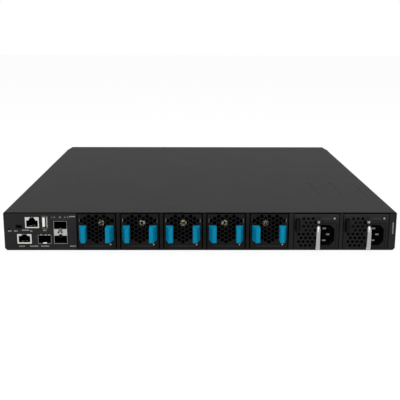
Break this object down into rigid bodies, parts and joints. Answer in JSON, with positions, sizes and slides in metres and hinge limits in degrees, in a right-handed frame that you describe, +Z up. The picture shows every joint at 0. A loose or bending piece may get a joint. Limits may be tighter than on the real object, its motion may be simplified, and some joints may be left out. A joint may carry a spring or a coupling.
{
  "type": "ethernet switch",
  "caption": "Flat rack-mount ethernet switch: folded steel chassis with a nose of module ports, pull-out fan trays with squeeze grips, and pull-out power supplies with loop handles.",
  "frame": {"origin": "middle of the underside of the chassis", "axes": "+Z up, +X to the right seen from the power side, power side towards -Y, port side towards +Y"},
  "size_m": [0.44, 0.4855, 0.044],
  "materials": {
    "dark_paint": "satin dark grey paint",
    "module_steel": "dark grey coating",
    "zinc_sheet": "bright plated sheet",
    "bright_steel": "bright plated",
    "bare_aluminium": "extruded",
    "circuit_board": "solder mask",
    "black_plastic": "moulded",
    "blue_plastic": "moulded, satin",
    "white_plastic": "moulded",
    "light_guide": "clear moulded guide"
  },
  "bodies": {
    "chassis": {"base_pan": "dark_paint", "top_cover": "dark_paint", "rear_panel": "dark_paint", "bay_dividers": "zinc_sheet", "port_panel": "dark_paint", "port_cages": "zinc_sheet", "main_board": "circuit_board", "heat_sink": "bare_aluminium", "backplane": "circuit_board", "management_boards": "circuit_board", "console_jack": "zinc_sheet", "management_jack": "zinc_sheet", "usb_port": "zinc_sheet", "usb_tongue": "white_plastic", "mini_usb_port": "zinc_sheet", "sfp_cage": "zinc_sheet", "sfp_stack_cage": "zinc_sheet", "status_lights": "light_guide"},
    "fan_module_1": {"fan_1_tray": "module_steel", "fan_1_housing": "black_plastic", "fan_1_light": "light_guide"},
    "fan_rotor_1": {"fan_1_rotor": "black_plastic"},
    "grip_left_1": {"fan_1_latch_left": "blue_plastic"},
    "grip_right_1": {"fan_1_latch_right": "blue_plastic"},
    "fan_module_2": {"fan_2_tray": "module_steel", "fan_2_housing": "black_plastic", "fan_2_light": "light_guide"},
    "fan_rotor_2": {"fan_2_rotor": "black_plastic"},
    "grip_left_2": {"fan_2_latch_left": "blue_plastic"},
    "grip_right_2": {"fan_2_latch_right": "blue_plastic"},
    "fan_module_3": {"fan_3_tray": "module_steel", "fan_3_housing": "black_plastic", "fan_3_light": "light_guide"},
    "fan_rotor_3": {"fan_3_rotor": "black_plastic"},
    "grip_left_3": {"fan_3_latch_left": "blue_plastic"},
    "grip_right_3": {"fan_3_latch_right": "blue_plastic"},
    "fan_module_4": {"fan_4_tray": "module_steel", "fan_4_housing": "black_plastic", "fan_4_light": "light_guide"},
    "fan_rotor_4": {"fan_4_rotor": "black_plastic"},
    "grip_left_4": {"fan_4_latch_left": "blue_plastic"},
    "grip_right_4": {"fan_4_latch_right": "blue_plastic"},
    "fan_module_5": {"fan_5_tray": "module_steel", "fan_5_housing": "black_plastic", "fan_5_light": "light_guide"},
    "fan_rotor_5": {"fan_5_rotor": "black_plastic"},
    "grip_left_5": {"fan_5_latch_left": "blue_plastic"},
    "grip_right_5": {"fan_5_latch_right": "blue_plastic"},
    "supply_1": {"psu_1_case": "module_steel", "psu_1_inlet": "black_plastic", "psu_1_pins": "bright_steel"},
    "supply_rotor_1": {"psu_1_rotor": "black_plastic"},
    "supply_handle_1": {"psu_1_handle": "bright_steel"},
    "supply_latch_1": {"psu_1_latch": "black_plastic"},
    "supply_2": {"psu_2_case": "module_steel", "psu_2_inlet": "black_plastic", "psu_2_pins": "bright_steel"},
    "supply_rotor_2": {"psu_2_rotor": "black_plastic"},
    "supply_handle_2": {"psu_2_handle": "bright_steel"},
    "supply_latch_2": {"psu_2_latch": "black_plastic"}
  },
  "joints": [
    {"name": "fan_slide_1", "type": "slide", "parent": "chassis", "child": "fan_module_1", "axis": [0, -1, 0], "range_m": [0, 0.105]},
    {"name": "fan_spin_1", "type": "hinge", "parent": "fan_module_1", "child": "fan_rotor_1", "pos_m": [-0.1165, -0.175, 0.0212], "axis": [0, 1, 0], "continuous": true},
    {"name": "grip_left_squeeze_1", "type": "hinge", "parent": "fan_module_1", "child": "grip_left_1", "pos_m": [-0.1347, -0.204, 0.0208], "axis": [0, 0, 1], "range_deg": [0, 4], "stiffness_Nm_per_rad": 2},
    {"name": "grip_right_squeeze_1", "type": "hinge", "parent": "fan_module_1", "child": "grip_right_1", "pos_m": [-0.0983, -0.204, 0.0208], "axis": [0, 0, -1], "range_deg": [0, 4], "stiffness_Nm_per_rad": 2},
    {"name": "fan_slide_2", "type": "slide", "parent": "chassis", "child": "fan_module_2", "axis": [0, -1, 0], "range_m": [0, 0.105]},
    {"name": "fan_spin_2", "type": "hinge", "parent": "fan_module_2", "child": "fan_rotor_2", "pos_m": [-0.0681, -0.175, 0.0212], "axis": [0, 1, 0], "continuous": true},
    {"name": "grip_left_squeeze_2", "type": "hinge", "parent": "fan_module_2", "child": "grip_left_2", "pos_m": [-0.0863, -0.204, 0.0208], "axis": [0, 0, 1], "range_deg": [0, 4], "stiffness_Nm_per_rad": 2},
    {"name": "grip_right_squeeze_2", "type": "hinge", "parent": "fan_module_2", "child": "grip_right_2", "pos_m": [-0.0499, -0.204, 0.0208], "axis": [0, 0, -1], "range_deg": [0, 4], "stiffness_Nm_per_rad": 2},
    {"name": "fan_slide_3", "type": "slide", "parent": "chassis", "child": "fan_module_3", "axis": [0, -1, 0], "range_m": [0, 0.105]},
    {"name": "fan_spin_3", "type": "hinge", "parent": "fan_module_3", "child": "fan_rotor_3", "pos_m": [-0.0197, -0.175, 0.0212], "axis": [0, 1, 0], "continuous": true},
    {"name": "grip_left_squeeze_3", "type": "hinge", "parent": "fan_module_3", "child": "grip_left_3", "pos_m": [-0.0379, -0.204, 0.0208], "axis": [0, 0, 1], "range_deg": [0, 4], "stiffness_Nm_per_rad": 2},
    {"name": "grip_right_squeeze_3", "type": "hinge", "parent": "fan_module_3", "child": "grip_right_3", "pos_m": [-0.0015, -0.204, 0.0208], "axis": [0, 0, -1], "range_deg": [0, 4], "stiffness_Nm_per_rad": 2},
    {"name": "fan_slide_4", "type": "slide", "parent": "chassis", "child": "fan_module_4", "axis": [0, -1, 0], "range_m": [0, 0.105]},
    {"name": "fan_spin_4", "type": "hinge", "parent": "fan_module_4", "child": "fan_rotor_4", "pos_m": [0.0287, -0.175, 0.0212], "axis": [0, 1, 0], "continuous": true},
    {"name": "grip_left_squeeze_4", "type": "hinge", "parent": "fan_module_4", "child": "grip_left_4", "pos_m": [0.0105, -0.204, 0.0208], "axis": [0, 0, 1], "range_deg": [0, 4], "stiffness_Nm_per_rad": 2},
    {"name": "grip_right_squeeze_4", "type": "hinge", "parent": "fan_module_4", "child": "grip_right_4", "pos_m": [0.0469, -0.204, 0.0208], "axis": [0, 0, -1], "range_deg": [0, 4], "stiffness_Nm_per_rad": 2},
    {"name": "fan_slide_5", "type": "slide", "parent": "chassis", "child": "fan_module_5", "axis": [0, -1, 0], "range_m": [0, 0.105]},
    {"name": "fan_spin_5", "type": "hinge", "parent": "fan_module_5", "child": "fan_rotor_5", "pos_m": [0.0771, -0.175, 0.0212], "axis": [0, 1, 0], "continuous": true},
    {"name": "grip_left_squeeze_5", "type": "hinge", "parent": "fan_module_5", "child": "grip_left_5", "pos_m": [0.0589, -0.204, 0.0208], "axis": [0, 0, 1], "range_deg": [0, 4], "stiffness_Nm_per_rad": 2},
    {"name": "grip_right_squeeze_5", "type": "hinge", "parent": "fan_module_5", "child": "grip_right_5", "pos_m": [0.0953, -0.204, 0.0208], "axis": [0, 0, -1], "range_deg": [0, 4], "stiffness_Nm_per_rad": 2},
    {"name": "supply_slide_1", "type": "slide", "parent": "chassis", "child": "supply_1", "axis": [0, -1, 0], "range_m": [0, 0.31]},
    {"name": "supply_fan_spin_1", "type": "hinge", "parent": "supply_1", "child": "supply_rotor_1", "pos_m": [0.12555, -0.19, 0.0217], "axis": [0, 1, 0], "continuous": true},
    {"name": "supply_handle_swing_1", "type": "hinge", "parent": "supply_1", "child": "supply_handle_1", "pos_m": [0.1318, -0.2338, 0.0205], "axis": [0, 0, -1], "range_deg": [-10, 40]},
    {"name": "supply_latch_press_1", "type": "hinge", "parent": "supply_1", "child": "supply_latch_1", "pos_m": [0.10705, -0.204, 0.0293], "axis": [0, 0, 1], "range_deg": [0, 3], "stiffness_Nm_per_rad": 2},
    {"name": "supply_slide_2", "type": "slide", "parent": "chassis", "child": "supply_2", "axis": [0, -1, 0], "range_m": [0, 0.31]},
    {"name": "supply_fan_spin_2", "type": "hinge", "parent": "supply_2", "child": "supply_rotor_2", "pos_m": [0.18135, -0.19, 0.0217], "axis": [0, 1, 0], "continuous": true},
    {"name": "supply_handle_swing_2", "type": "hinge", "parent": "supply_2", "child": "supply_handle_2", "pos_m": [0.1876, -0.2338, 0.0205], "axis": [0, 0, -1], "range_deg": [-10, 40]},
    {"name": "supply_latch_press_2", "type": "hinge", "parent": "supply_2", "child": "supply_latch_2", "pos_m": [0.16285, -0.204, 0.0293], "axis": [0, 0, 1], "range_deg": [0, 3], "stiffness_Nm_per_rad": 2}
  ]
}
